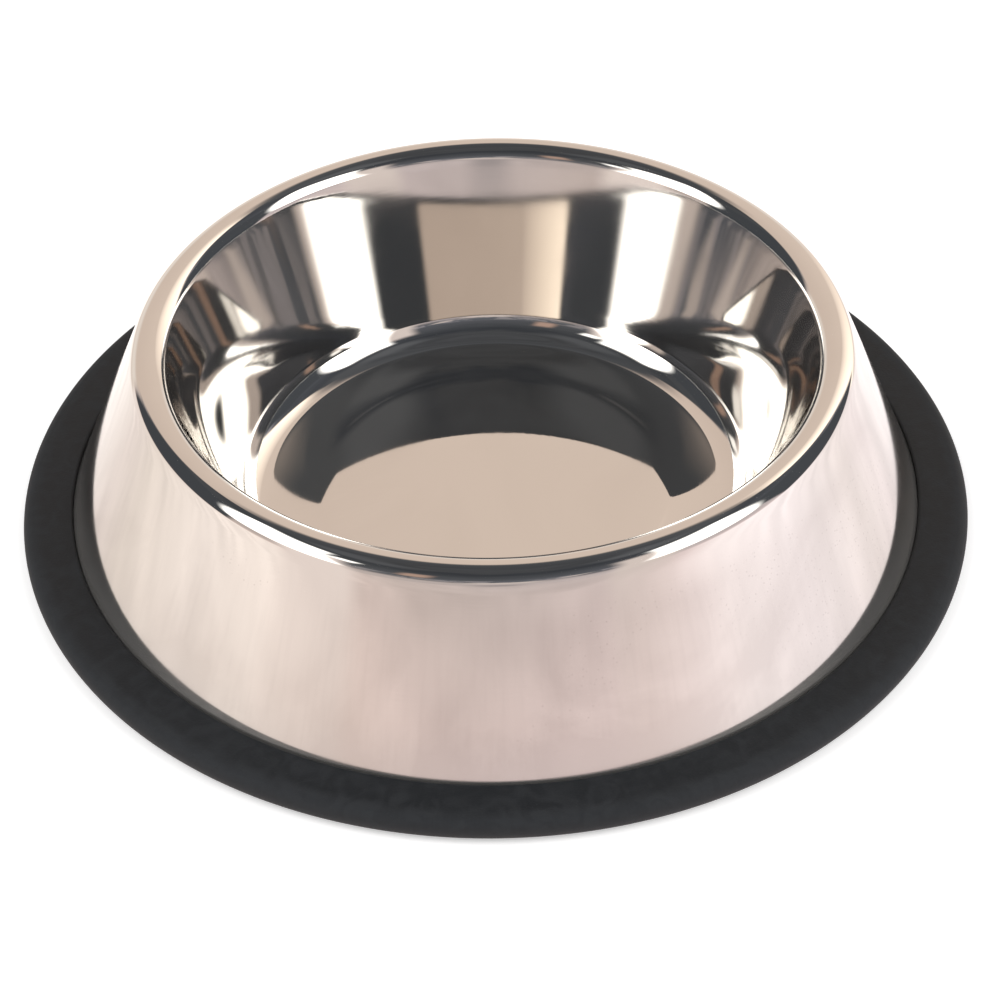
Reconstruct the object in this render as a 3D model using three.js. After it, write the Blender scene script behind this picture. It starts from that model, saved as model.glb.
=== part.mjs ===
// Non-tip pet bowl: one drawn stainless steel pressing standing in a grooved rubber ring.
// Millimetres, +Z up, origin on the axis of the bowl at the level of the table.
import * as THREE from 'three';

// Steel pressing. The show side is the side that is seen from above, from the dish floor to the foot.
const BOWL_HEIGHT = 54.5;        // table to the crest of the rim
const RIM_CREST_RADIUS = 88;     // axis to the crest of the rim
const RIM_ROLL = 5;              // radius of the rolled rim on the show side
const WALL_DRAFT = 19.5;         // dish wall, degrees from upright
const FLOOR_HEIGHT = 2.7;        // table to the lowest line of the dish floor, in the trough round it
const FLOOR_CROWN = 480;         // radius of the dish floor, which swells up a little in the middle
const FLOOR_TROUGH = 35;         // radius of the shallow trough round the floor, show side
const TROUGH_RISE = 8;           // slope at which the trough turns into the cove, degrees
const FLOOR_COVE = 10;           // radius between the trough and the wall, show side
const SHEET = 0.7;               // thickness of the steel
const FOOT_BEND = 1.6;           // radius between the skirt and the foot flange, show side
const FLANGE_WIDTH = 4.92;       // flat of the foot flange, from the end of that bend to its edge

// Rubber ring
const RING_RADIUS = 125;         // axis to the outer side
const RING_HEIGHT = 6.5;         // table to the top face
const RING_WALL = 5.7;           // rubber between the end of the groove and the outer side
const RING_SOLE = 1.9;           // thickness of the lip under the foot flange
const RING_SOLE_WIDTH = 11.5;    // outer side to the inner edge of that lip
const RING_TOP_CORNER = 2.8;     // outer corner of the top face
const RING_BOTTOM_CORNER = 3.5;  // outer corner of the sole
const RING_LIP_ROUND = 0.9;      // inner edge of the top lip, beside the skirt
const SOLE_EDGE_ROUND = 0.6;     // inner edge of the sole

// Clearance between the steel and the rubber that grips it
const SEAT_GAP = 0.3;

// Facets
const TURN_STEPS = 72;
const CROWN_STEPS = 6;
const TROUGH_STEPS = 3;
const COVE_STEPS = 5;
const RIM_STEPS = 6;             // each side of the crest
const BEND_STEPS = 4;
const CORNER_STEPS = 4;
const ROUND_STEPS = 2;

const DEGREES = Math.PI / 180;
const QUARTER = Math.PI / 2;
const wallDraft = WALL_DRAFT * DEGREES;
const troughRise = TROUGH_RISE * DEGREES;

// The ring places the foot of the bowl: groove, then flange, then bend.
const grooveEnd = RING_RADIUS - RING_WALL;
const flangeRadius = grooveEnd - SEAT_GAP;
const flangeTop = RING_SOLE + SEAT_GAP + SHEET;
const rimCentre = new THREE.Vector2(RIM_CREST_RADIUS, BOWL_HEIGHT - RIM_ROLL);
const bend = new THREE.Vector2(flangeRadius - FLANGE_WIDTH, flangeTop + FOOT_BEND);
const skirtDraft = skirtAngle();

/** Points of an arc in the section plane, x along the radius and y along the axis. */
function arc(centre, radius, start, end, steps) {
  const points = [];
  for (let i = 0; i <= steps; i += 1) {
    const angle = start + ((end - start) * i) / steps;
    const spoke = new THREE.Vector2(Math.cos(angle), Math.sin(angle));
    points.push(spoke.multiplyScalar(radius).add(centre));
  }
  return points;
}

/** Point of the rim roll where a straight run leaves it, by the angle of its outward normal. */
function rimTangent(angle) {
  return new THREE.Vector2(Math.cos(angle), Math.sin(angle)).multiplyScalar(RIM_ROLL).add(rimCentre);
}

/** From the centre of the trough to the centre of the cove, which takes over at the trough's rise. */
function troughToCove() {
  const angle = troughRise - QUARTER;
  return new THREE.Vector2(Math.cos(angle), Math.sin(angle)).multiplyScalar(FLOOR_TROUGH - FLOOR_COVE);
}

/** Centre of the cove that touches the wall and carries on from the trough. */
function coveCentre() {
  const wallTop = rimTangent(Math.PI - wallDraft);
  const height = FLOOR_HEIGHT + FLOOR_TROUGH + troughToCove().y;
  const wallRadius = wallTop.x - (wallTop.y - height) * Math.tan(wallDraft);
  return new THREE.Vector2(wallRadius - FLOOR_COVE / Math.cos(wallDraft), height);
}

/** Angle from upright of the straight skirt, which passes over the rim's roll and under the foot bend. */
function skirtAngle() {
  const span = bend.clone().sub(rimCentre);
  return Math.acos((RIM_ROLL + FOOT_BEND) / span.length()) + span.angle() - 2 * Math.PI;
}

// The crown is centred on the axis, far below, and meets the trough in one smooth line.
const cove = coveCentre();
const trough = cove.clone().sub(troughToCove());
const crownAngle = Math.asin(trough.x / (FLOOR_CROWN + FLOOR_TROUGH));
const crown = new THREE.Vector2(0, trough.y - (FLOOR_CROWN + FLOOR_TROUGH) * Math.cos(crownAngle));

/** Show side of the pressing, or the face at a depth below it, from the axis to the flange edge. */
function sheetFace(depth) {
  return [
    new THREE.Vector2(0, crown.y + FLOOR_CROWN - depth),
    ...arc(crown, FLOOR_CROWN - depth, QUARTER, QUARTER - crownAngle, CROWN_STEPS).slice(1),
    ...arc(trough, FLOOR_TROUGH + depth, -QUARTER - crownAngle, troughRise - QUARTER, TROUGH_STEPS).slice(1),
    ...arc(cove, FLOOR_COVE + depth, troughRise - QUARTER, -wallDraft, COVE_STEPS).slice(1),
    ...arc(rimCentre, RIM_ROLL - depth, Math.PI - wallDraft, QUARTER, RIM_STEPS),
    ...arc(rimCentre, RIM_ROLL - depth, QUARTER, skirtDraft, RIM_STEPS).slice(1),
    ...arc(bend, FOOT_BEND + depth, Math.PI + skirtDraft, Math.PI + QUARTER, BEND_STEPS),
    new THREE.Vector2(flangeRadius, flangeTop - depth),
  ];
}

/** Section of the pressing: out along the hidden side and back along the show side. */
function bowlSection() {
  return [...sheetFace(SHEET), ...sheetFace(0).reverse()];
}

/** Closed section of the ring: sole, outer side, top face, lip beside the skirt, groove for the flange. */
function ringSection() {
  const topCorner = new THREE.Vector2(RING_RADIUS - RING_TOP_CORNER, RING_HEIGHT - RING_TOP_CORNER);
  const bottomCorner = new THREE.Vector2(RING_RADIUS - RING_BOTTOM_CORNER, RING_BOTTOM_CORNER);
  const soleInner = RING_RADIUS - RING_SOLE_WIDTH;
  const soleEdge = new THREE.Vector2(soleInner + SOLE_EDGE_ROUND, SOLE_EDGE_ROUND);
  const soleTopEdge = new THREE.Vector2(soleEdge.x, RING_SOLE - SOLE_EDGE_ROUND);

  // The lip stands off the skirt and the bend by the seat gap, and its top edge is rounded.
  const bendStart = arc(bend, FOOT_BEND - SEAT_GAP, Math.PI + skirtDraft, Math.PI + QUARTER, BEND_STEPS);
  const lipHeight = RING_HEIGHT - RING_LIP_ROUND;
  const lipFace = bendStart[0].x - (lipHeight - bendStart[0].y) * Math.tan(skirtDraft);
  const lipRound = new THREE.Vector2(lipFace + RING_LIP_ROUND / Math.cos(skirtDraft), lipHeight);

  const section = [
    ...arc(bottomCorner, RING_BOTTOM_CORNER, -QUARTER, 0, CORNER_STEPS),
    ...arc(topCorner, RING_TOP_CORNER, 0, QUARTER, CORNER_STEPS),
    ...arc(lipRound, RING_LIP_ROUND, QUARTER, Math.PI + skirtDraft, ROUND_STEPS + 1),
    ...bendStart,
    new THREE.Vector2(grooveEnd, flangeTop + SEAT_GAP),
    new THREE.Vector2(grooveEnd, RING_SOLE),
    ...arc(soleTopEdge, SOLE_EDGE_ROUND, QUARTER, Math.PI, ROUND_STEPS),
    ...arc(soleEdge, SOLE_EDGE_ROUND, Math.PI, Math.PI + QUARTER, ROUND_STEPS),
  ];
  return [...section, section[0].clone()];
}

/** Turns a section about the upright axis into a named mesh. */
function turned(name, section, material) {
  const geometry = new THREE.LatheGeometry(section, TURN_STEPS);
  geometry.rotateX(QUARTER);
  const mesh = new THREE.Mesh(geometry, material);
  mesh.name = name;
  return mesh;
}

const polishedSteel = new THREE.MeshStandardMaterial({ color: 0xcfc8c2, roughness: 0.05, metalness: 1 });
const blackRubber = new THREE.MeshStandardMaterial({ color: 0x26262a, roughness: 0.7, metalness: 0 });

const petBowl = new THREE.Group();
petBowl.add(turned('rubber_ring', ringSection(), blackRubber));
petBowl.add(turned('steel_bowl', bowlSection(), polishedSteel));

export default petBowl;
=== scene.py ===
"""Looks of a non-tip pet bowl: a mirror-polished steel dish and skirt standing in a black rubber ring.

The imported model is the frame. Each piece here is turned about the same upright axis, rides on the body
of the solid that it stands for, and stays inside that solid's box. Lengths are metres.
"""

import logging
import math
from dataclasses import dataclass
from enum import Enum

import bmesh
import bpy
from mathutils import Matrix, Vector


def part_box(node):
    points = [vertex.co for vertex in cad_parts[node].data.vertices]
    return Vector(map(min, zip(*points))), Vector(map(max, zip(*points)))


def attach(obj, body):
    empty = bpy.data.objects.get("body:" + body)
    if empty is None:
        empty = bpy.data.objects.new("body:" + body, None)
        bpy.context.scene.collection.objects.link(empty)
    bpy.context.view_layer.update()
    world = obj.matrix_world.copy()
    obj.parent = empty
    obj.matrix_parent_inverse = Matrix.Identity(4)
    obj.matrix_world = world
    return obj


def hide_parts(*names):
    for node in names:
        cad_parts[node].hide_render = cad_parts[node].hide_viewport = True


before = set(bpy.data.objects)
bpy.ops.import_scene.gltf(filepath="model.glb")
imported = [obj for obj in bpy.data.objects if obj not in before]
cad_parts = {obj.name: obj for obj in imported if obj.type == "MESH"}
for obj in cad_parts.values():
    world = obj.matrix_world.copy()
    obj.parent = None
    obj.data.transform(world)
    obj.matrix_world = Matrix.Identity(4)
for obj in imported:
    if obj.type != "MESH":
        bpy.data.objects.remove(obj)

logging.basicConfig(level=logging.INFO, format="%(message)s")
log = logging.getLogger("pet_bowl")

MM = 0.001
QUARTER = math.pi / 2
SEAT_GAP = 0.3 * MM
RING_SOLE = 1.9 * MM
UNDERSIDE = "underside"
WHITE = (1.0, 1.0, 1.0, 1.0)

Point = tuple[float, float]
Span = tuple[float, float]
Tint = tuple[float, float, float]
Colour = tuple[float, float, float, float]
Stops = tuple[tuple[float, Tint], ...]
Socket = bpy.types.NodeSocket
Input = float | Colour | Socket


class Node(Enum):
    """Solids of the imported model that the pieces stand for."""

    BOWL = "steel_bowl"
    RING = "rubber_ring"


class Body(Enum):
    """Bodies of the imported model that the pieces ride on."""

    BOWL = "bowl"
    RING = "ring"


class Slot(Enum):
    """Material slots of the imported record."""

    STEEL = "polished_steel"
    RUBBER = "ring_rubber"


class Side(Enum):
    """Faces of the steel sheet: the one seen from above, and the one underneath."""

    SHOW = 0.0
    HIDDEN = 1.0


def spoke(centre: Point, reach: float, angle: float) -> Point:
    """Point of the section plane at a reach from a centre, by its angle from the outward direction."""
    return centre[0] + reach * math.cos(angle), centre[1] + reach * math.sin(angle)


def arc(centre: Point, radius: float, start: float, end: float, steps: int) -> list[Point]:
    """Points of an arc in the section plane.

    Args:
        centre: Distance from the axis and height of the arc's centre.
        radius: Radius of the arc.
        start: First angle, in radians from the outward direction.
        end: Last angle.
        steps: Number of chords.

    Returns:
        The points from the first angle to the last.
    """
    return [spoke(centre, radius, start + (end - start) * i / steps) for i in range(steps + 1)]


def run(start: Point, end: Point, steps: int) -> list[Point]:
    """Points inside a straight stretch, without its two ends.

    Args:
        start: First end of the stretch.
        end: Other end.
        steps: Number of chords.

    Returns:
        The points between the ends.
    """
    shares = [i / steps for i in range(1, steps)]
    return [(start[0] + (end[0] - start[0]) * t, start[1] + (end[1] - start[1]) * t) for t in shares]


def placed(name: str, data: bpy.types.ID) -> bpy.types.Object:
    """Makes an object and puts it into the scene.

    Args:
        name: Name of the object.
        data: Its mesh, light or camera.

    Returns:
        The object, at the origin.
    """
    obj = bpy.data.objects.new(name, data)
    bpy.context.scene.collection.objects.link(obj)
    return obj


class NodeSketch:
    """Small helper that adds nodes to a tree and wires them by socket name."""

    def __init__(self, tree: bpy.types.NodeTree) -> None:
        """Keeps the tree that the nodes go into."""
        self.tree = tree

    def add(self, kind: str, inputs: dict | None = None, **settings) -> bpy.types.Node:
        """Adds one node.

        Args:
            kind: Blender's name of the node type.
            inputs: Socket name or index to a value, or to another node's output to wire in.
            settings: Attributes of the node, set before its inputs.

        Returns:
            The new node.
        """
        node = self.tree.nodes.new(kind)
        for name, value in settings.items():
            setattr(node, name, value)
        for key, value in (inputs or {}).items():
            if isinstance(value, Socket):
                self.tree.links.new(value, node.inputs[key])
            else:
                node.inputs[key].default_value = value
        return node

    def maths(self, operation: str, *values: Input) -> Socket:
        """Adds a Math node for the values, in order, and gives its output."""
        return self.add("ShaderNodeMath", dict(enumerate(values)), operation=operation).outputs[0]

    def total(self, base: Input, *layers: tuple[Socket, float]) -> Socket:
        """Adds up a base and some masks.

        Args:
            base: Number or socket to start from.
            layers: Masks, each with the share that it adds.

        Returns:
            The output socket.
        """
        for mask, share in layers:
            base = self.maths("MULTIPLY_ADD", mask, share, base)
        return base

    def coordinates(self) -> Socket:
        """Adds the Object coordinates of the surface and gives them."""
        return self.add("ShaderNodeTexCoord").outputs["Object"]

    def split(self, vector: Socket) -> bpy.types.NodeOutputs:
        """Takes a vector apart and gives its X, Y and Z."""
        return self.add("ShaderNodeSeparateXYZ", {0: vector}).outputs

    def join(self, *parts: Input) -> Socket:
        """Makes a vector of X, Y and Z and gives it."""
        return self.add("ShaderNodeCombineXYZ", dict(enumerate(parts))).outputs[0]

    def remap(
        self,
        value: Input,
        low: Input,
        high: Input,
        start: float = 0.0,
        end: float = 1.0,
        course: str = "LINEAR",
    ) -> Socket:
        """Adds a Map Range node and gives its output.

        Args:
            value: Number to map.
            low: Value that gives the start.
            high: Value that gives the end.
            start: Result at the low value.
            end: Result at the high value.
            course: Blender's name of the course between them.

        Returns:
            The output socket.
        """
        limits = {"Value": value, "From Min": low, "From Max": high, "To Min": start, "To Max": end}
        return self.add("ShaderNodeMapRange", limits, interpolation_type=course).outputs[0]

    def fade(self, value: Input, start: Input, end: Input) -> Socket:
        """Adds a soft step that leaves 0 at the start and reaches 1 at the end, and gives its output."""
        return self.remap(value, start, end, course="SMOOTHSTEP")

    def noise(
        self,
        place: Socket,
        scale: Input,
        detail: float = 2.0,
        roughness: float = 0.5,
        distortion: float = 0.0,
    ) -> Socket:
        """Adds a noise texture and gives its value.

        Args:
            place: Where the noise is read.
            scale: Number of waves in a length of 1.
            detail: Number of finer layers.
            roughness: Strength of the finer layers.
            distortion: Strength of the swirls.

        Returns:
            The output socket, from 0 to 1.
        """
        look = {"Detail": detail, "Roughness": roughness, "Distortion": distortion}
        return self.add("ShaderNodeTexNoise", {"Vector": place, "Scale": scale, **look}).outputs["Fac"]

    def blend(self, factor: Input, first: Input, second: Input, mode: str = "MIX") -> Socket:
        """Adds a Mix node for colours and gives its output.

        Args:
            factor: Share of the second colour.
            first: Colour at 0.
            second: Colour at 1, or what the first is multiplied by.
            mode: Blender's name of the way of mixing.

        Returns:
            The output socket.
        """
        # Mix has one set of sockets for each data type, and those of its colours are known by position.
        sockets = {0: factor, 6: first, 7: second}
        return self.add("ShaderNodeMix", sockets, data_type="RGBA", blend_type=mode).outputs[2]

    def ramp(self, value: Socket, stops: Stops) -> Socket:
        """Adds a Color Ramp and gives its output.

        Args:
            value: Number that picks the colour.
            stops: Place and tint of each stop, in order.

        Returns:
            The output socket.
        """
        node = self.add("ShaderNodeValToRGB", {"Fac": value})
        elements = node.color_ramp.elements
        while len(elements) < len(stops):
            elements.new(1.0)
        for element, (place, tint) in zip(elements, stops):
            element.position = place
            element.color = (*tint, 1.0)
        return node.outputs[0]

    def bump(self, height: Socket) -> Socket:
        """Adds a Bump node for a height in metres and gives its normal."""
        return self.add("ShaderNodeBump", {"Height": height, "Strength": 1.0, "Distance": 1.0}).outputs[0]

    def surface(self, kind: str, inputs: dict) -> None:
        """Adds the shader that the material ends in, and wires it to the output."""
        shader = self.add(kind, inputs)
        self.add("ShaderNodeOutputMaterial", {"Surface": shader.outputs[0]})


class TurningLathe:
    """Geometry Nodes tree that turns a section about the upright axis into a closed mesh."""

    weld_distance: float = 0.001 * MM
    shortest_edge: float = 1e-8

    def __init__(self) -> None:
        """Builds the tree and keeps the identifiers of its inputs."""
        self.tree = bpy.data.node_groups.new("turn_about_axis", "GeometryNodeTree")
        self.identifiers = {}
        kinds = {"Section": "Geometry", "Turn Steps": "Int", "Weld Distance": "Float", "Finish": "Material"}
        for label, kind in kinds.items():
            socket = self.tree.interface.new_socket(label, in_out="INPUT", socket_type="NodeSocket" + kind)
            self.identifiers[label] = socket.identifier
        self.tree.interface.new_socket("Turned", in_out="OUTPUT", socket_type="NodeSocketGeometry")
        self._wire()

    def _wire(self) -> None:
        """Wires a grid whose rows follow the section's points and whose columns go round the axis."""
        sketch = NodeSketch(self.tree)
        source = sketch.add("NodeGroupInput").outputs
        count = sketch.add("GeometryNodeAttributeDomainSize", {"Geometry": source["Section"]}).outputs[0]
        columns = sketch.maths("ADD", source["Turn Steps"], 1.0)
        grid = sketch.add(
            "GeometryNodeMeshGrid",
            {"Size X": 1.0, "Size Y": 1.0, "Vertices X": columns, "Vertices Y": count},
        )
        spot = sketch.add("GeometryNodeInputPosition").outputs[0]
        place = sketch.split(spot)
        angle = sketch.maths("MULTIPLY", sketch.maths("ADD", place["X"], 0.5), 2 * math.pi)
        last = sketch.maths("SUBTRACT", count, 1.0)
        share = sketch.maths("ADD", place["Y"], 0.5)
        row = sketch.maths("ROUND", sketch.maths("MULTIPLY", share, last))
        stored = sketch.add("GeometryNodeInputNamedAttribute", {"Name": UNDERSIDE}, data_type="FLOAT")
        where, side = (
            sketch.add(
                "GeometryNodeSampleIndex",
                {"Geometry": source["Section"], "Value": value, "Index": row},
                data_type=kind,
                domain="POINT",
            ).outputs[0]
            for kind, value in (("FLOAT_VECTOR", spot), ("FLOAT", stored.outputs[0]))
        )
        point = sketch.split(where)
        turned = sketch.join(
            sketch.maths("MULTIPLY", point["X"], sketch.maths("COSINE", angle)),
            sketch.maths("MULTIPLY", point["X"], sketch.maths("SINE", angle)),
            point["Z"],
        )
        marked = sketch.add(
            "GeometryNodeStoreNamedAttribute",
            {"Geometry": grid.outputs["Mesh"], "Name": UNDERSIDE, "Value": side},
            data_type="FLOAT",
            domain="POINT",
        )
        shape = marked.outputs[0]
        for kind, inputs in (
            ("GeometryNodeSetPosition", {"Position": turned}),
            ("GeometryNodeMergeByDistance", {"Distance": source["Weld Distance"]}),
            ("GeometryNodeSetShadeSmooth", {}),
            ("GeometryNodeRealizeInstances", {}),
            ("GeometryNodeSetMaterial", {"Material": source["Finish"]}),
        ):
            shape = sketch.add(kind, {"Geometry": shape, **inputs}).outputs[0]
        sketch.add("NodeGroupOutput", {"Turned": shape})

    def turn(
        self,
        name: str,
        section: list[tuple[Point, Side]],
        steps: int,
        finish: bpy.types.Material,
    ) -> bpy.types.Object:
        """Turns a section into a plain closed mesh with its faces pointing out.

        Args:
            name: Name of the piece.
            section: Points from first to last, each with the side of the sheet that it is on.
            steps: Facets in a full turn.
            finish: Material of the piece.

        Returns:
            The finished object, at the origin.
        """
        outline = bpy.data.meshes.new(name + "_section")
        verts = [(radius, 0.0, height) for (radius, height), _ in section]
        outline.from_pydata(verts, [(i, i + 1) for i in range(len(verts) - 1)], [])
        sides = outline.attributes.new(UNDERSIDE, "FLOAT", "POINT")
        sides.data.foreach_set("value", [side.value for _, side in section])
        piece = placed(name, outline)

        modifier = piece.modifiers.new("turned", "NODES")
        modifier.node_group = self.tree
        modifier[self.identifiers["Turn Steps"]] = steps
        modifier[self.identifiers["Weld Distance"]] = self.weld_distance
        modifier[self.identifiers["Finish"]] = finish
        bpy.context.view_layer.update()
        evaluated = piece.evaluated_get(bpy.context.evaluated_depsgraph_get())
        mesh = bpy.data.meshes.new_from_object(evaluated)
        piece.modifiers.remove(modifier)
        piece.data = mesh
        mesh.name = name
        bpy.data.meshes.remove(outline)
        self._face_out(mesh)
        return piece

    def _face_out(self, mesh: bpy.types.Mesh) -> None:
        """Recalculates the normals of a closed mesh so that its faces point out."""
        work = bmesh.new()
        work.from_mesh(mesh)
        bmesh.ops.dissolve_degenerate(work, edges=work.edges, dist=self.shortest_edge)
        bmesh.ops.recalc_face_normals(work, faces=work.faces)
        work.to_mesh(mesh)
        work.free()


def new_group(name: str, inputs: dict[str, float], outputs: list[str]) -> bpy.types.NodeTree:
    """Makes an empty shader group with number sockets.

    Args:
        name: Name of the group.
        inputs: Input names and their default values.
        outputs: Output names.

    Returns:
        The group's tree.
    """
    tree = bpy.data.node_groups.new(name, "ShaderNodeTree")
    for label, value in inputs.items():
        socket = tree.interface.new_socket(label, in_out="INPUT", socket_type="NodeSocketFloat")
        socket.default_value = value
    for label in outputs:
        tree.interface.new_socket(label, in_out="OUTPUT", socket_type="NodeSocketFloat")
    return tree


class SurfaceEffects:
    """Shader node groups that both finishes share."""

    stroke_climb: float = 40.0
    blotch_edge: Span = (0.42, 0.7)
    speck_radius: float = 0.16
    speck_level: float = 0.6

    def __init__(self) -> None:
        """Builds the groups once."""
        self.streaks = self._turned_streaks()
        self.marks = self._handling_marks()

    def _turned_streaks(self) -> bpy.types.NodeTree:
        """Fine streaks round the axis and across it, from polishing or from the mould.

        Returns:
            A group with inputs Fineness, Length and Strokes, outputs Streaks and Upright from 0 to 1, and
            output Radius in metres.
        """
        sizes = {"Fineness": 900.0, "Length": 6.0, "Strokes": 60.0}
        tree = new_group("turned_streaks", sizes, ["Streaks", "Upright", "Radius"])
        sketch = NodeSketch(tree)
        source = sketch.add("NodeGroupInput").outputs
        place = sketch.coordinates()
        axes = sketch.split(place)
        flat = sketch.join(axes["X"], axes["Y"], 0.0)
        radius = sketch.add("ShaderNodeVectorMath", {0: flat}, operation="LENGTH").outputs["Value"]
        round_axis = sketch.add("ShaderNodeVectorMath", {0: flat}, operation="NORMALIZE").outputs[0]
        noises = []
        for turning, climbing in (("Length", source["Fineness"]), ("Strokes", self.stroke_climb)):
            pace = {0: round_axis, "Scale": source[turning]}
            scaled = sketch.add("ShaderNodeVectorMath", pace, operation="SCALE").outputs[0]
            turn = sketch.split(scaled)
            height = sketch.maths("MULTIPLY", axes["Z"], climbing)
            across = sketch.maths("MULTIPLY", radius, climbing)
            warp = sketch.join(turn["X"], turn["Y"], height)
            noise = sketch.add(
                "ShaderNodeTexNoise",
                {"Vector": warp, "W": across, "Scale": 1.0, "Detail": 3.0, "Roughness": 0.6},
                noise_dimensions="4D",
            )
            noises.append(noise.outputs["Fac"])
        sketch.add("NodeGroupOutput", {"Streaks": noises[0], "Upright": noises[1], "Radius": radius})
        return tree

    def _handling_marks(self) -> bpy.types.NodeTree:
        """Soft blotches and fine specks left by handling, wiping and dust.

        Returns:
            A group with inputs Blotch Scale and Speck Scale, and outputs Blotches and Specks from 0 to 1.
        """
        sizes = {"Blotch Scale": 30.0, "Speck Scale": 700.0}
        tree = new_group("handling_marks", sizes, ["Blotches", "Specks"])
        sketch = NodeSketch(tree)
        source = sketch.add("NodeGroupInput").outputs
        place = sketch.coordinates()
        blotch = sketch.noise(place, source["Blotch Scale"], detail=4.0, roughness=0.45, distortion=2.0)
        speck = sketch.add("ShaderNodeTexVoronoi", {"Vector": place, "Scale": source["Speck Scale"]})
        near = sketch.maths("LESS_THAN", speck.outputs["Distance"], self.speck_radius)
        sparse = sketch.noise(place, source["Blotch Scale"], detail=1.0)
        here = sketch.maths("GREATER_THAN", sparse, self.speck_level)
        blotches = sketch.remap(blotch, *self.blotch_edge)
        specks = sketch.maths("MULTIPLY", near, here)
        sketch.add("NodeGroupOutput", {"Blotches": blotches, "Specks": specks})
        return tree


def new_material(name: str) -> tuple[bpy.types.Material, NodeSketch]:
    """Makes an empty material.

    Args:
        name: Name of the material.

    Returns:
        The material and a sketch on its tree.
    """
    material = bpy.data.materials.new(name)
    material.use_nodes = True
    material.node_tree.nodes.clear()
    return material, NodeSketch(material.node_tree)


@dataclass(frozen=True)
class PolishedSteel:
    """Mirror-polished stainless sheet: faint polish lines and waves, a hazy foot darkened with painted
    shade, duller underneath.
    """

    clean: Colour = (0.73, 0.71, 0.68, 1.0)
    wiped_and_shaded: Colour = (0.60, 0.575, 0.55, 1.0)
    mirror_roughness: float = 0.03
    wall_roughness: float = 0.02
    smudge_roughness: float = 0.04
    skirt_roughness: float = 0.045
    under_roughness: float = 0.26
    wall_edge: Span = (50 * MM, 56 * MM)
    skirt_edge: Span = (93.5 * MM, 97.5 * MM)
    foot_edge: Span = (98 * MM, 115 * MM)
    haze_edge: Span = (106 * MM, 112 * MM)
    foot_haze: float = 0.13
    brush_edge: Span = (0.4, 0.75)
    brush_share: float = 0.14
    cloud_share: float = 0.8
    dish_share: float = 0.2
    # Share of the painted shade that darkens the colour towards the foot.
    foot_shade_share: float = 0.9
    speck_share: float = 0.6
    wave_scale: float = 22.0
    wave_depth: float = 0.00004
    line_depth: float = 0.0000012

    def build(self, effects: SurfaceEffects) -> bpy.types.Material:
        """Makes the material.

        Args:
            effects: Shared node groups.

        Returns:
            The material.
        """
        material, sketch = new_material("polished_steel")
        sizes = {"Fineness": 1600.0, "Length": 9.0, "Strokes": 55.0}
        lines = sketch.add("ShaderNodeGroup", sizes, node_tree=effects.streaks).outputs
        marks = sketch.add("ShaderNodeGroup", {"Blotch Scale": 15.0}, node_tree=effects.marks).outputs
        wall, skirt, foot, hazy = (
            sketch.fade(lines["Radius"], *edge)
            for edge in (self.wall_edge, self.skirt_edge, self.foot_edge, self.haze_edge)
        )

        strokes = sketch.fade(lines["Upright"], *self.brush_edge)
        clouds = sketch.total(0.0, (strokes, self.brush_share), (marks["Blotches"], self.cloud_share))
        handled = sketch.total(self.dish_share, (skirt, 1.0 - self.dish_share))
        smudged = sketch.maths("MULTIPLY", clouds, handled)
        specks = sketch.maths("MULTIPLY", marks["Specks"], skirt)
        # Painted shade: the colour darkens towards the foot, where the lower skirt mirrors the shaded table
        # and ring beside it. The smudges and specks are real marks.
        soiled_and_shaded = sketch.total(smudged, (foot, self.foot_shade_share), (specks, self.speck_share))

        under = sketch.add("ShaderNodeAttribute", attribute_name=UNDERSIDE).outputs["Fac"]
        dull = sketch.total(
            0.0,
            (marks["Blotches"], self.smudge_roughness),
            (lines["Streaks"], self.mirror_roughness),
            (wall, self.wall_roughness),
            (skirt, self.skirt_roughness),
            (under, self.under_roughness),
        )

        wave = sketch.noise(sketch.coordinates(), self.wave_scale, detail=1.5, roughness=0.4)
        height = sketch.total(0.0, (wave, self.wave_depth), (lines["Streaks"], self.line_depth))
        sketch.surface(
            "ShaderNodeBsdfPrincipled",
            {
                "Base Color": sketch.blend(soiled_and_shaded, self.clean, self.wiped_and_shaded),
                "Metallic": sketch.total(1.0, (hazy, -self.foot_haze)),
                "Roughness": dull,
                "Normal": sketch.bump(height),
            },
        )
        return material


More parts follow.
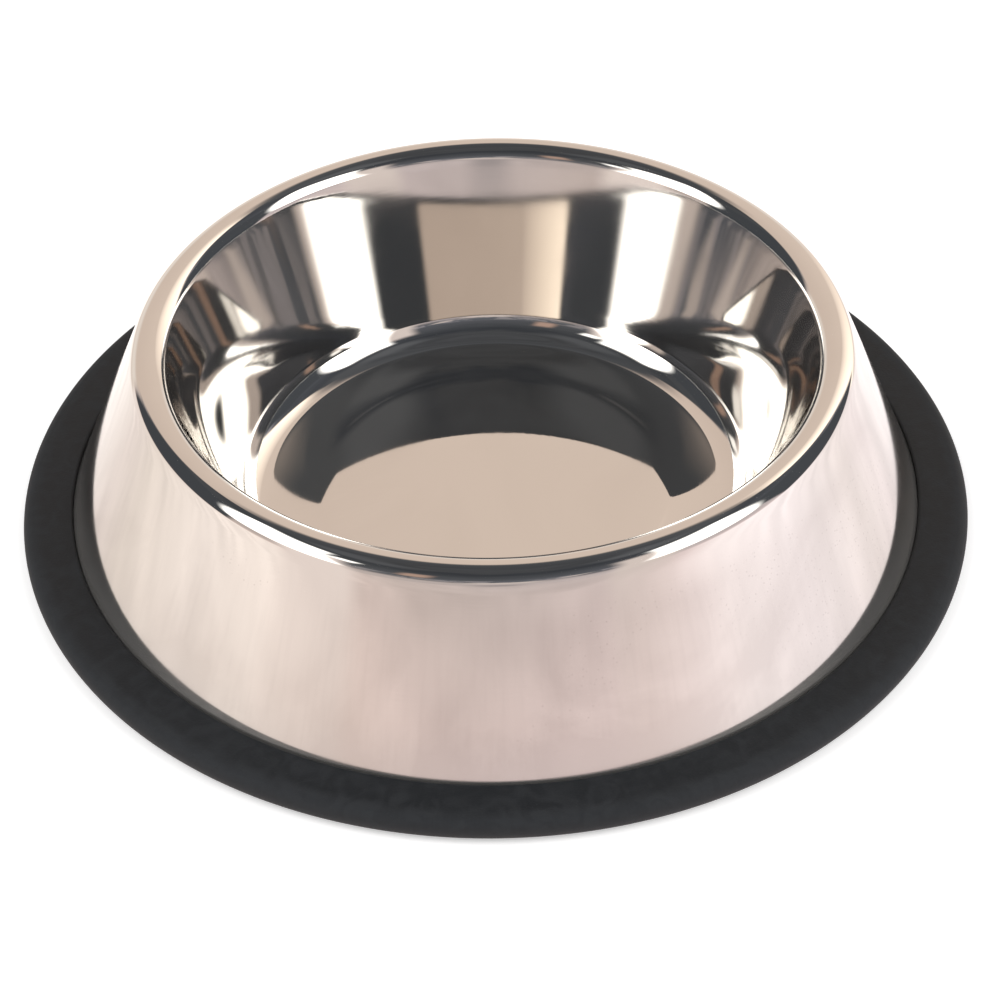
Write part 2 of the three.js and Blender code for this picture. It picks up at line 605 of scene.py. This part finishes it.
@dataclass(frozen=True)
class MouldedRubber:
    """Matte black rubber with mould streaks, a little dust and a painted highlight along the outer corner.
    """

    dark: Colour = (0.009, 0.0105, 0.0125, 1.0)
    wear_and_highlight: Colour = (0.026, 0.028, 0.031, 1.0)
    smooth: float = 0.55
    rough: float = 0.75
    sheen: float = 0.3
    blotch_share: float = 0.5
    stroke_share: float = 0.45
    # Share and radii of the painted highlight on the outer corner.
    corner_highlight_share: float = 0.5
    corner_highlight_edge: Span = (119.5 * MM, 122.5 * MM)
    grain_scale: float = 1800.0
    grain_depth: float = 0.00006
    streak_depth: float = 0.00004

    def build(self, effects: SurfaceEffects) -> bpy.types.Material:
        """Makes the material.

        Args:
            effects: Shared node groups.

        Returns:
            The material.
        """
        material, sketch = new_material("ring_rubber")
        sizes = {"Fineness": 500.0, "Length": 14.0, "Strokes": 170.0}
        streaks = sketch.add("ShaderNodeGroup", sizes, node_tree=effects.streaks).outputs
        sizes = {"Blotch Scale": 130.0, "Speck Scale": 900.0}
        marks = sketch.add("ShaderNodeGroup", sizes, node_tree=effects.marks).outputs
        # Painted highlight: the outer corner is made lighter in colour, as if it catches the light. The
        # blotches, specks and streaks are real wear and dust.
        corner_highlight = sketch.fade(streaks["Radius"], *self.corner_highlight_edge)
        wear_and_highlight = sketch.total(
            marks["Specks"],
            (marks["Blotches"], self.blotch_share),
            (streaks["Upright"], self.stroke_share),
            (corner_highlight, self.corner_highlight_share),
        )

        grain = sketch.noise(sketch.coordinates(), self.grain_scale)
        height = sketch.total(0.0, (grain, self.grain_depth), (streaks["Streaks"], self.streak_depth))
        sketch.surface(
            "ShaderNodeBsdfPrincipled",
            {
                "Base Color": sketch.blend(wear_and_highlight, self.dark, self.wear_and_highlight),
                "Roughness": sketch.remap(wear_and_highlight, 0.0, 1.0, self.smooth, self.rough),
                "Specular IOR Level": self.sheen,
                "Normal": sketch.bump(height),
            },
        )
        return material


@dataclass
class SteelBowl:
    """One drawn pressing: crowned floor, trough, cove, wall, rolled rim, skirt, foot bend and flange."""

    height: float
    flange_radius: float
    flange_under: float = RING_SOLE + SEAT_GAP
    flange_width: float = 4.92 * MM
    rim_crest_radius: float = 88 * MM
    rim_roll: float = 5 * MM
    wall_draft: float = math.radians(19.5)
    floor_height: float = 2.7 * MM
    floor_shoulder: float = 40 * MM
    shoulder_start: float = math.radians(3.8)
    shoulder_end: float = math.radians(10)
    floor_trough: float = 50 * MM
    trough_rise: float = math.radians(5)
    floor_cove: float = 10 * MM
    sheet: float = 0.7 * MM
    foot_bend: float = 1.6 * MM
    show_steps: int = 20
    hidden_steps: int = 8
    edge_steps: int = 6
    turn_steps: int = 360

    @classmethod
    def from_frame(cls) -> "SteelBowl":
        """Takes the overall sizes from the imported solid."""
        _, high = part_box(Node.BOWL.value)
        return cls(height=high.z, flange_radius=high.x)

    @property
    def rim_centre(self) -> Point:
        """Centre of the rim's roll."""
        return self.rim_crest_radius, self.height - self.rim_roll

    @property
    def flange_top(self) -> float:
        """Height of the flange's upper face."""
        return self.flange_under + self.sheet

    @property
    def bend_centre(self) -> Point:
        """Centre of the bend that touches the skirt and the flange."""
        return self.flange_radius - self.flange_width, self.flange_top + self.foot_bend

    @property
    def skirt_draft(self) -> float:
        """Angle from upright of the skirt, which passes over the rim's roll and under the foot bend."""
        rim = self.rim_centre
        bend = self.bend_centre
        across = bend[0] - rim[0]
        down = rim[1] - bend[1]
        lean = math.acos((self.rim_roll + self.foot_bend) / math.hypot(across, down))
        return lean - math.atan2(down, across)

    @property
    def trough_to_cove(self) -> Point:
        """From the trough's centre to the cove's, where the cove takes over at the trough's rise."""
        return spoke((0.0, 0.0), self.floor_trough - self.floor_cove, self.trough_rise - QUARTER)

    @property
    def cove_centre(self) -> Point:
        """Centre of the cove that touches the wall and carries on from the trough."""
        top = spoke(self.rim_centre, self.rim_roll, math.pi - self.wall_draft)
        level = self.floor_height + self.floor_trough + self.trough_to_cove[1]
        wall = top[0] - (top[1] - level) * math.tan(self.wall_draft)
        return wall - self.floor_cove / math.cos(self.wall_draft), level

    @property
    def trough_centre(self) -> Point:
        """Centre of the shallow trough round the floor."""
        step = self.trough_to_cove
        return self.cove_centre[0] - step[0], self.cove_centre[1] - step[1]

    @property
    def shoulder_centre(self) -> Point:
        """Centre of the shoulder where the floor rolls off into the trough."""
        reach = self.floor_trough + self.floor_shoulder
        return spoke(self.trough_centre, reach, -QUARTER - self.shoulder_end)

    @property
    def floor_crown(self) -> float:
        """Radius of the flat swell in the middle of the floor, which runs smoothly into the shoulder."""
        return self.floor_shoulder + self.shoulder_centre[0] / math.sin(self.shoulder_start)

    @property
    def crown_centre(self) -> Point:
        """Centre of that swell, on the axis, far below."""
        reach = self.floor_crown - self.floor_shoulder
        return 0.0, self.shoulder_centre[1] - reach * math.cos(self.shoulder_start)

    def face(self, depth: float, fineness: int) -> list[Point]:
        """Show side of the sheet, or the face at a depth below it, from the axis to the flange.

        Args:
            depth: Distance below the show side.
            fineness: Chords in each long arc and straight stretch.

        Returns:
            The points in order.
        """
        bent = QUARTER - self.shoulder_start
        crown = arc(self.crown_centre, self.floor_crown - depth, QUARTER, bent, fineness)
        fall = QUARTER - self.shoulder_end
        shoulder = arc(self.shoulder_centre, self.floor_shoulder - depth, bent, fall, fineness // 2)
        rise = self.trough_rise - QUARTER
        trough = arc(self.trough_centre, self.floor_trough + depth, fall - math.pi, rise, fineness)
        cove = arc(self.cove_centre, self.floor_cove + depth, rise, -self.wall_draft, fineness)
        roll = self.rim_roll - depth
        rim_in = arc(self.rim_centre, roll, math.pi - self.wall_draft, QUARTER, fineness)
        rim_out = arc(self.rim_centre, roll, QUARTER, self.skirt_draft, fineness)
        bend = arc(
            self.bend_centre,
            self.foot_bend + depth,
            math.pi + self.skirt_draft,
            math.pi + QUARTER,
            fineness // 2,
        )
        top = (0.0, crown[0][1])
        edge = (self.flange_radius - self.sheet / 2, self.flange_top - depth)
        return [
            top,
            *crown[1:],
            *shoulder[1:],
            *trough[1:],
            *cove[1:],
            *run(cove[-1], rim_in[0], fineness),
            *rim_in,
            *rim_out[1:],
            *run(rim_out[-1], bend[0], fineness),
            *bend,
            edge,
        ]

    def section(self) -> list[tuple[Point, Side]]:
        """Section of the sheet: hidden side out to the flange, round its edge, show side back.

        Returns:
            The points in order, each with the side of the sheet that it is on.
        """
        edge_centre = (self.flange_radius - self.sheet / 2, self.flange_top - self.sheet / 2)
        hidden = [(point, Side.HIDDEN) for point in self.face(self.sheet, self.hidden_steps)]
        rounding = arc(edge_centre, self.sheet / 2, -QUARTER, QUARTER, self.edge_steps)[1:-1]
        edge = [(point, Side.HIDDEN) for point in rounding]
        show = [(point, Side.SHOW) for point in reversed(self.face(0.0, self.show_steps))]
        return [*hidden, *edge, *show]

    def build(self, lathe: TurningLathe, finish: bpy.types.Material) -> bpy.types.Object:
        """Makes the bowl and seats it on its body.

        Args:
            lathe: Tree that turns the section.
            finish: The steel.

        Returns:
            The bowl.
        """
        bowl = lathe.turn("drawn_steel_bowl", self.section(), self.turn_steps, finish)
        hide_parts(Node.BOWL.value)
        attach(bowl, Body.BOWL.value)
        return bowl


@dataclass
class RubberRing:
    """Moulded ring with a groove that grips the bowl's flange."""

    radius: float
    height: float
    bowl: SteelBowl
    sole: float = RING_SOLE
    sole_width: float = 11.5 * MM
    top_corner: float = 2.8 * MM
    bottom_corner: float = 3.5 * MM
    lip_round: float = 0.7 * MM
    sole_round: float = 0.6 * MM
    seat_gap: float = SEAT_GAP
    lip_gap: float = 0.08 * MM
    bottom_steps: int = 10
    top_steps: int = 12
    flat_steps: int = 6
    lip_steps: int = 10
    seat_steps: int = 8
    sole_steps: int = 5
    turn_steps: int = 360

    @classmethod
    def from_frame(cls, bowl: SteelBowl) -> "RubberRing":
        """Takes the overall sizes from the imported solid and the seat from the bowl."""
        _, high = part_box(Node.RING.value)
        return cls(radius=high.x, height=high.z, bowl=bowl)

    def section(self) -> list[tuple[Point, Side]]:
        """Closed section: sole, outer side, top face, lip beside the skirt, groove.

        Returns:
            The points in order, each marked as the outer side of the rubber.
        """
        bowl = self.bowl
        draft = bowl.skirt_draft
        lean = math.pi + draft
        down = math.pi + QUARTER
        seat = arc(bowl.bend_centre, bowl.foot_bend - self.lip_gap, lean, down, self.seat_steps)
        lip_level = self.height - self.lip_round
        lip_face = seat[0][0] - (lip_level - seat[0][1]) * math.tan(draft)
        lip_centre = (lip_face + self.lip_round / math.cos(draft), lip_level)
        top_centre = (self.radius - self.top_corner, self.height - self.top_corner)
        bottom_centre = (self.radius - self.bottom_corner, self.bottom_corner)
        sole_edge = (self.radius - self.sole_width + self.sole_round, self.sole_round)
        sole_top = (sole_edge[0], self.sole - self.sole_round)
        groove_end = bowl.flange_radius + self.seat_gap
        groove_top = bowl.flange_top + self.lip_gap
        lip = arc(lip_centre, self.lip_round, QUARTER, lean, self.lip_steps)
        top = arc(top_centre, self.top_corner, 0.0, QUARTER, self.top_steps)
        points = [
            *arc(bottom_centre, self.bottom_corner, -QUARTER, 0.0, self.bottom_steps),
            *top,
            *run(top[-1], lip[0], self.flat_steps),
            *lip,
            *seat,
            (groove_end, groove_top),
            (groove_end, self.sole),
            *arc(sole_top, self.sole_round, QUARTER, math.pi, self.sole_steps),
            *arc(sole_edge, self.sole_round, math.pi, down, self.sole_steps),
        ]
        return [(point, Side.SHOW) for point in [*points, points[0]]]

    def build(self, lathe: TurningLathe, finish: bpy.types.Material) -> bpy.types.Object:
        """Makes the ring and seats it on its body.

        Args:
            lathe: Tree that turns the section.
            finish: The rubber.

        Returns:
            The ring.
        """
        ring = lathe.turn("grooved_rubber_ring", self.section(), self.turn_steps, finish)
        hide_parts(Node.RING.value)
        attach(ring, Body.RING.value)
        return ring


def stage_object(name: str, work: bmesh.types.BMesh) -> tuple[bpy.types.Object, NodeSketch]:
    """Makes an object of the studio, with an empty material that isn't sampled as a lamp.

    Args:
        name: Name of the object and its material.
        work: Its shape, which is freed.

    Returns:
        The object and a sketch on the material's tree.
    """
    mesh = bpy.data.meshes.new(name)
    work.to_mesh(mesh)
    work.free()
    obj = placed(name, mesh)
    material, sketch = new_material(name)
    material.cycles.emission_sampling = "NONE"
    mesh.materials.append(material)
    return obj, sketch


def background_rays(sketch: NodeSketch) -> Socket:
    """Light Path test for the rays that show the background.

    Args:
        sketch: Helper on the tree.

    Returns:
        1 for camera, mirror and glass rays, and 0 for the rest.
    """
    path = sketch.add("ShaderNodeLightPath").outputs
    seen = sketch.maths("MAXIMUM", path["Is Camera Ray"], path["Is Glossy Ray"])
    return sketch.maths("MAXIMUM", seen, path["Is Transmission Ray"])


@dataclass(frozen=True)
class SoftBoxLamp:
    """Lamp behind a soft box, which lights the rubber and the table.

    Azimuth is in degrees from straight behind the bowl, to the right. Elevation is in degrees.
    """

    name: str
    azimuth: float
    elevation: float = 42.0
    width: float = 0.9
    height: float = 1.3
    radiance: float = 2.2
    distance: float = 1.3

    @property
    def placement(self) -> Matrix:
        """Placement of a panel that faces the bowl: X to its right, Y up and Z away from the bowl."""
        turn = math.radians(self.azimuth)
        rise = math.radians(self.elevation)
        away = Vector((math.sin(turn) * math.cos(rise), math.cos(turn) * math.cos(rise), math.sin(rise)))
        right = away.cross(Vector((0.0, 0.0, 1.0))).normalized()
        axes = Matrix((right, right.cross(away), away)).transposed().to_4x4()
        return Matrix.Translation(away * self.distance) @ axes

    def build(self) -> None:
        """Makes the lamp."""
        data = bpy.data.lights.new(self.name, "AREA")
        data.shape = "RECTANGLE"
        data.size = self.width
        data.size_y = self.height
        data.energy = self.radiance * math.pi * self.width * self.height
        lamp = placed(self.name, data)
        lamp.matrix_world = self.placement
        lamp.visible_camera = False
        lamp.visible_glossy = False


@dataclass(frozen=True)
class StudioPatch:
    """Soft-edged patch of the room: a soft box, a backdrop, a dark flag or a spill of light. Degrees."""

    azimuth: float
    elevation: float
    width: float
    height: float
    tint: Tint
    right_tint: Tint | None = None
    glow: float = 1.0
    lean: float = 0.0
    side_fade: float = 5.0
    end_fade: float = 8.0

    def sockets(self) -> dict[str, float]:
        """Values for the inputs of the patch group."""
        return {
            "At Azimuth": self.azimuth,
            "At Elevation": self.elevation,
            "Width": self.width,
            "Height": self.height,
            "Lean": self.lean,
            "Side Fade": self.side_fade,
            "End Fade": self.end_fade,
        }

    @property
    def colours(self) -> tuple[Colour, ...]:
        """Colours of the left and the right edge, at the patch's brightness."""
        edges = (self.tint, self.right_tint or self.tint)
        return tuple((*(share * self.glow for share in tint), 1.0) for tint in edges)


@dataclass(frozen=True)
class PhotoCamera:
    """Camera at the photograph's angle, worked out from the outlines of the ring and the rim."""

    target: tuple[float, float, float] = (0.0, 0.0, 0.0245)
    distance: float = 0.7
    elevation: float = math.radians(39.27)
    roll: float = math.radians(-1.08)
    focal_pixels: float = 2668.0
    centre_pixel: tuple[float, float] = (493.9, 421.9)
    frame_pixels: float = 1000.0
    sensor: float = 36.0
    nearest: float = 0.01

    def build(self) -> None:
        """Makes the camera and sets it as the scene's."""
        data = bpy.data.cameras.new("photo_camera")
        data.sensor_width = self.sensor
        data.lens = self.focal_pixels / self.frame_pixels * self.sensor
        half = self.frame_pixels / 2
        data.shift_x = (half - self.centre_pixel[0]) / self.frame_pixels
        data.shift_y = (self.centre_pixel[1] - half) / self.frame_pixels
        data.clip_start = self.nearest
        camera = placed("photo_camera", data)
        away = Vector((0.0, -math.cos(self.elevation), math.sin(self.elevation)))
        place = Vector(self.target) + away * self.distance
        turn = (-away).to_track_quat("-Z", "Y").to_matrix().to_4x4()
        camera.matrix_world = Matrix.Translation(place) @ turn @ Matrix.Rotation(self.roll, 4, "Z")
        bpy.context.scene.camera = camera


@dataclass
class Studio:
    """Pale table, backdrop, soft boxes and the dark room round them."""

    table_radius: float = 1.6
    table_sides: int = 128
    table_colour: Colour = (0.86, 0.85, 0.845, 1.0)
    table_lift: float = 0.4
    far_lift: float = 0.4
    far_edge: Span = (0.25, 0.9)
    room_radius: float = 4.0
    room_sides: int = 96
    mirror_bounces: int = 10
    fill: float = 0.5
    left_tint: Colour = (0.92, 0.935, 0.94, 1.0)
    right_tint: Colour = (1.05, 1.09, 1.19, 1.0)
    clutter_scale: float = 5.0
    clutter: float = 0.16
    things_scale: float = 5.0
    things_tint: Colour = (0.40, 0.36, 0.36, 1.0)
    things_share: float = 0.8
    things_edge: Span = (0.5, 0.55)
    things_foot: Span = (0.3, 0.36)
    things_head: Span = (0.56, 0.48)
    fold_scale: float = 2.2
    fold_stretch: float = 24.0
    fold_edge: Span = (0.3, 0.7)
    fold_shade: Span = (0.85, 1.13)
    table_level: Span = (-0.03, 0.02)
    table_tones: Stops = (
        (0.0, (1.02, 0.82, 0.76)),
        (0.09, (1.17, 0.95, 0.86)),
        (0.27, (1.34, 1.17, 1.08)),
        (0.45, (1.35, 1.19, 1.11)),
        (0.68, (1.13, 0.99, 0.90)),
        (0.78, (1.15, 1.0, 0.93)),
        (0.95, (1.5, 1.4, 1.3)),
    )
    wall_tones: Stops = (
        (0.0, (1.0, 0.80, 0.73)),
        (0.06, (0.80, 0.66, 0.60)),
        (0.12, (0.70, 0.59, 0.55)),
        (0.28, (0.66, 0.56, 0.52)),
        (0.33, (0.54, 0.46, 0.43)),
        (0.37, (0.27, 0.24, 0.23)),
        (0.45, (0.15, 0.155, 0.17)),
        (0.58, (0.115, 0.117, 0.125)),
        (0.75, (0.085, 0.088, 0.094)),
        (0.9, (0.055, 0.058, 0.064)),
        (0.95, (0.08, 0.081, 0.084)),
    )

    def build(self) -> None:
        """Makes the whole set."""
        bpy.context.scene.view_settings.view_transform = "Standard"
        bpy.context.scene.cycles.glossy_bounces = self.mirror_bounces
        self._world()
        self._table()
        self._room()
        for lamp in (SoftBoxLamp("lamp_left", -106.0), SoftBoxLamp("lamp_right", 113.0)):
            lamp.build()

    def _world(self) -> None:
        """White behind the bowl for the camera, and an even fill on matt surfaces."""
        world = bpy.data.worlds.new("studio")
        bpy.context.scene.world = world
        world.use_nodes = True
        world.node_tree.nodes.clear()
        sketch = NodeSketch(world.node_tree)
        strength = sketch.remap(background_rays(sketch), 0.0, 1.0, self.fill, 1.0)
        light = sketch.add("ShaderNodeBackground", {"Color": WHITE, "Strength": strength})
        sketch.add("ShaderNodeOutputWorld", {"Surface": light.outputs[0]})

    def _table(self) -> None:
        """Pale table top that keeps the bowl's shadow, is white for the camera and clear from below."""
        work = bmesh.new()
        bmesh.ops.create_circle(work, cap_ends=True, segments=self.table_sides, radius=self.table_radius)
        table, sketch = stage_object("table_top", work)
        matt = sketch.add("ShaderNodeBsdfDiffuse", {"Color": self.table_colour})
        place = sketch.coordinates()
        away = sketch.add("ShaderNodeVectorMath", {0: place}, operation="LENGTH").outputs["Value"]
        far = sketch.fade(away, *self.far_edge)
        lift = sketch.total(self.table_lift, (far, self.far_lift))
        strength = sketch.maths("MULTIPLY", background_rays(sketch), lift)
        glow = sketch.add("ShaderNodeEmission", {"Strength": strength})
        both = sketch.add("ShaderNodeAddShader", {0: matt.outputs[0], 1: glow.outputs[0]})
        below = sketch.add("ShaderNodeNewGeometry").outputs["Backfacing"]
        clear = sketch.add("ShaderNodeBsdfTransparent")
        sketch.surface("ShaderNodeMixShader", {0: below, 1: both.outputs[0], 2: clear.outputs[0]})
        table.visible_glossy = False

    def _room(self) -> None:
        """Room as the steel sees it: pale table, pale band at its level, dark above, and the patches."""
        work = bmesh.new()
        bmesh.ops.create_uvsphere(
            work,
            u_segments=self.room_sides,
            v_segments=self.room_sides // 2,
            radius=self.room_radius,
        )
        room, sketch = stage_object("room", work)
        place = sketch.coordinates()
        way = sketch.add("ShaderNodeVectorMath", {0: place}, operation="NORMALIZE").outputs[0]
        axes = sketch.split(way)
        tone = self._table_and_walls(sketch, way, axes)

        azimuth = sketch.maths("DEGREES", sketch.maths("ARCTAN2", axes["X"], axes["Y"]))
        elevation = sketch.maths("DEGREES", sketch.maths("ARCSINE", axes["Z"]))
        group = self._patch_group()
        for patch in self._patches():
            inputs = {"Azimuth": azimuth, "Elevation": elevation, **patch.sockets()}
            node = sketch.add("ShaderNodeGroup", inputs, node_tree=group)
            light = sketch.blend(node.outputs["Across"], *patch.colours)
            tone = sketch.blend(node.outputs["Mask"], tone, light)
        sketch.surface("ShaderNodeEmission", {"Color": tone, "Strength": 1.0})
        room.visible_camera = False
        room.visible_diffuse = False
        room.visible_shadow = False

    def _table_and_walls(self, sketch: NodeSketch, way: Socket, axes: bpy.types.NodeOutputs) -> Socket:
        """Colour of the room without its patches.

        Args:
            sketch: Helper on the room's tree.
            way: Direction from the bowl.
            axes: That direction's X, Y and Z.

        Returns:
            The colour.
        """
        clutter = sketch.noise(way, self.clutter_scale, detail=3.0, roughness=0.6)
        shift = sketch.maths("MULTIPLY", sketch.maths("SUBTRACT", clutter, 0.5), self.clutter)
        height = sketch.maths("MULTIPLY_ADD", sketch.maths("ABSOLUTE", axes["Z"]), shift, axes["Z"])
        wall = sketch.ramp(height, self.wall_tones)
        dressed = sketch.blend(self._things(sketch, way, axes), wall, self.things_tint)
        table = sketch.ramp(sketch.remap(axes["Y"], -1.0, 1.0), self.table_tones)
        base = sketch.blend(sketch.fade(axes["Z"], *self.table_level), table, dressed)
        tint = sketch.blend(sketch.remap(axes["X"], -1.0, 1.0), self.left_tint, self.right_tint)
        tinted = sketch.blend(1.0, base, tint, "MULTIPLY")
        return sketch.blend(1.0, tinted, self._folds(sketch, axes), "MULTIPLY")

    def _things(self, sketch: NodeSketch, way: Socket, axes: bpy.types.NodeOutputs) -> Socket:
        """Ragged shapes of the things that stand about in the room, over the pale band.

        Args:
            sketch: Helper on the room's tree.
            way: Direction from the bowl.
            axes: That direction's X, Y and Z.

        Returns:
            A mask from 0 to the share of their colour.
        """
        noise = sketch.noise(way, self.things_scale, detail=4.0, roughness=0.6, distortion=1.5)
        shapes = sketch.fade(noise, *self.things_edge)
        feet = sketch.fade(axes["Z"], *self.things_foot)
        heads = sketch.fade(axes["Z"], *self.things_head)
        standing = sketch.maths("MULTIPLY", shapes, sketch.maths("MULTIPLY", feet, heads))
        return sketch.maths("MULTIPLY", standing, self.things_share)

    def _folds(self, sketch: NodeSketch, axes: bpy.types.NodeOutputs) -> Socket:
        """Light and shade of the creased cloth that the bowl stands on, which the skirt mirrors.

        Args:
            sketch: Helper on the room's tree.
            axes: X, Y and Z of the direction from the bowl.

        Returns:
            A factor for the room's colour.
        """
        level = sketch.maths("MULTIPLY", axes["Z"], self.fold_stretch)
        place = sketch.join(axes["X"], axes["Y"], level)
        crease = sketch.noise(place, self.fold_scale, detail=3.0, distortion=1.2)
        return sketch.remap(crease, *self.fold_edge, *self.fold_shade)

    @staticmethod
    def _patch_group() -> bpy.types.NodeTree:
        """Node group that masks one patch of the room.

        Returns:
            A group with the direction and the patch's sizes as inputs, and outputs Mask and Across.
        """
        sizes = ("At Azimuth", "At Elevation", "Width", "Height", "Lean", "Side Fade", "End Fade")
        inputs = dict.fromkeys(("Azimuth", "Elevation", *sizes), 0.0)
        tree = new_group("studio_patch", inputs, ["Mask", "Across"])
        sketch = NodeSketch(tree)
        source = sketch.add("NodeGroupInput").outputs
        up = sketch.maths("SUBTRACT", source["Elevation"], source["At Elevation"])
        aside = sketch.maths("SUBTRACT", source["Azimuth"], source["At Azimuth"])
        straight = sketch.maths("SUBTRACT", aside, sketch.maths("MULTIPLY", up, source["Lean"]))
        across = sketch.maths("WRAP", straight, 180.0, -180.0)
        masks = []
        for offset, size, fade in ((across, "Width", "Side Fade"), (up, "Height", "End Fade")):
            half = sketch.maths("MULTIPLY", source[size], 0.5)
            inside = sketch.maths("SUBTRACT", half, sketch.maths("ABSOLUTE", offset))
            masks.append(sketch.fade(inside, 0.0, source[fade]))
        share = sketch.maths("ADD", sketch.maths("DIVIDE", across, source["Width"]), 0.5)
        sketch.add("NodeGroupOutput", {"Mask": sketch.maths("MULTIPLY", *masks), "Across": share})
        return tree

    @staticmethod
    def _patches() -> list[StudioPatch]:
        """Backdrop, dark flags, spills of light and soft boxes.

        Returns:
            The patches, each laid over the ones before it.
        """
        dark = (0.07, 0.076, 0.086)
        shade = (0.45, 0.40, 0.40)
        high_left = (0.076, 0.08, 0.088)
        high_right = (0.115, 0.12, 0.13)
        white = (1.0, 0.985, 0.96)
        pink = (0.95, 0.83, 0.78)
        pale = (1.0, 0.9, 0.82)
        beige = (0.80, 0.655, 0.565)
        light_beige = (0.91, 0.755, 0.65)
        bright_edge = (2.2, 1.9, 1.6)
        brown = (0.56, 0.385, 0.31)
        return [
            StudioPatch(-100, 68, 110, 18, high_right, side_fade=35, end_fade=7),
            StudioPatch(95, 67, 90, 18, high_right, glow=1.2, side_fade=30, end_fade=7),
            StudioPatch(0, 62, 170, 20, high_left, high_right, side_fade=20),
            StudioPatch(0, 22, 104, 78, beige, light_beige, end_fade=10),
            StudioPatch(0, 2, 104, 30, pale, end_fade=12),
            StudioPatch(39, 24, 34, 66, light_beige, bright_edge, side_fade=4),
            StudioPatch(-77, 22, 54, 46, dark, side_fade=4, end_fade=4),
            StudioPatch(78, 20, 48, 46, dark, glow=1.15, lean=0.3, side_fade=4, end_fade=4),
            StudioPatch(-126, 20, 30, 56, pink, glow=1.1, lean=0.25, side_fade=8, end_fade=10),
            StudioPatch(136, 24, 26, 56, pink, glow=0.95, lean=-0.2, side_fade=7, end_fade=10),
            StudioPatch(-155, 39, 14, 22, brown),
            StudioPatch(180, 8.5, 22, 10, shade, side_fade=10, end_fade=4),
            StudioPatch(178, 20, 28, 7, pink, glow=0.85, side_fade=8, end_fade=2),
            StudioPatch(158, 26.5, 10, 6, pink, glow=0.75, lean=-1.5, side_fade=3, end_fade=2),
            StudioPatch(-130, 44, 13, 12, white, glow=2.0, side_fade=4, end_fade=4),
            StudioPatch(-108, 36, 44, 46, white, glow=4.0, lean=0.5, side_fade=8),
            StudioPatch(112, 36, 42, 46, white, glow=4.0, lean=-0.4, side_fade=8),
        ]


def main() -> None:
    """Builds the bowl, its ring and the studio."""
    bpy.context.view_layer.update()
    PhotoCamera().build()
    lathe = TurningLathe()
    effects = SurfaceEffects()
    bowl = SteelBowl.from_frame()
    ring = RubberRing.from_frame(bowl)
    pieces = [
        ring.build(lathe, MouldedRubber().build(effects)),
        bowl.build(lathe, PolishedSteel().build(effects)),
    ]
    for piece in pieces:
        log.info("%s: %d faces", piece.name, len(piece.data.polygons))
    Studio().build()


if __name__ == "__main__":
    main()
